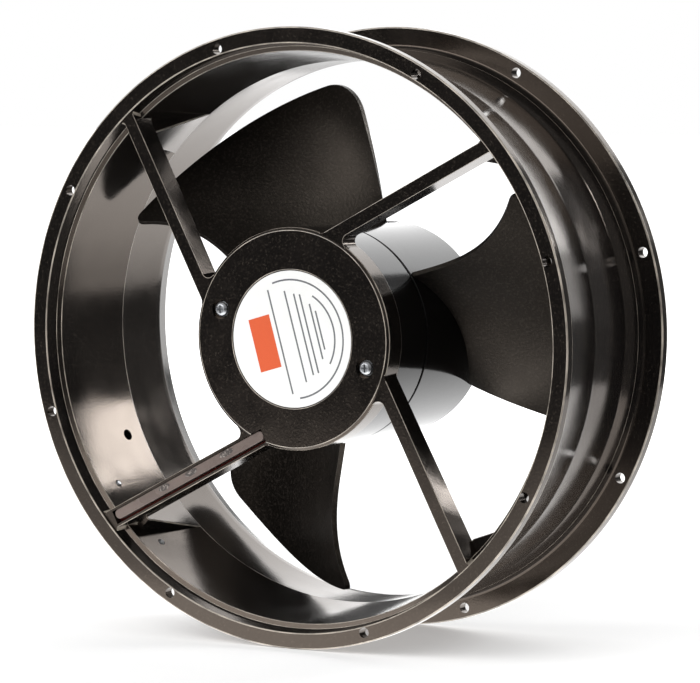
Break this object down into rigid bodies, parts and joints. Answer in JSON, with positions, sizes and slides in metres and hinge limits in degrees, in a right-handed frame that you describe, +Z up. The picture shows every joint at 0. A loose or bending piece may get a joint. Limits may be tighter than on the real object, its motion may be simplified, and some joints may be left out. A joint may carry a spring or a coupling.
{
  "type": "axial fan",
  "caption": "Round-frame axial fan: a die-cast venturi housing with struts, an external-rotor motor on its hub plate and wide swept blades that turn in the throat.",
  "frame": {"origin": "centre of the housing's bounding box, on the fan's axis halfway between the two flange faces", "axes": "-Y along the fan's axis out of the inlet, towards the struts and the label; +Z up as the fan stands on its rims; +X to the right as seen from the inlet"},
  "size_m": [0.254, 0.089, 0.254],
  "materials": {
    "frame_paint": "semi-gloss black paint on a die casting",
    "motor_paint": "smooth gloss black paint",
    "blade_paint": "matte, fine grained black paint",
    "label_paper": "smooth white label film",
    "screw_zinc": "bright zinc plate",
    "bearing_steel": "ground steel",
    "lamination_steel": "oiled electrical sheet",
    "coil_copper": "enamelled copper wire",
    "insulator_nylon": "natural nylon",
    "terminal_thermoset": "moulded black thermoset",
    "terminal_brass": "stamped brass",
    "strip_filler": "smooth grey brown strip",
    "lead_insulation": "flexible wire insulation"
  },
  "bodies": {
    "frame": {"venturi_housing": "frame_paint", "label_disc": "label_paper", "motor_screw_1": "screw_zinc", "lock_washer_1": "screw_zinc", "motor_screw_2": "screw_zinc", "lock_washer_2": "screw_zinc", "motor_base": "motor_paint", "bearing_tube": "bearing_steel", "stator_core": "lamination_steel", "stator_insulator_front": "insulator_nylon", "stator_insulator_rear": "insulator_nylon", "stator_coil_1": "coil_copper", "stator_coil_2": "coil_copper", "stator_coil_3": "coil_copper", "stator_coil_4": "coil_copper", "stator_coil_5": "coil_copper", "stator_coil_6": "coil_copper", "stator_coil_7": "coil_copper", "stator_coil_8": "coil_copper", "thermal_protector": "terminal_thermoset", "front_bearing_outer_ring": "bearing_steel", "front_bearing_balls": "bearing_steel", "rear_bearing_outer_ring": "bearing_steel", "rear_bearing_balls": "bearing_steel", "wave_spring": "bearing_steel", "terminal_block": "terminal_thermoset", "terminal_tab_1": "terminal_brass", "terminal_screw_1": "screw_zinc", "terminal_tab_2": "terminal_brass", "terminal_screw_2": "screw_zinc", "channel_strip": "strip_filler", "lead_wire_1": "lead_insulation", "lead_wire_2": "lead_insulation"},
    "rotor": {"front_bearing_inner_ring": "bearing_steel", "rear_bearing_inner_ring": "bearing_steel", "rotor_cup": "motor_paint", "rotor_core": "lamination_steel", "shaft": "bearing_steel", "retaining_clip": "bearing_steel", "shim_washer": "bearing_steel", "blade_1": "blade_paint", "blade_2": "blade_paint", "blade_3": "blade_paint"}
  },
  "joints": [
    {"name": "rotor_spin", "type": "hinge", "parent": "frame", "child": "rotor", "pos_m": [0, 0, 0], "axis": [0, 1, 0], "continuous": true}
  ]
}
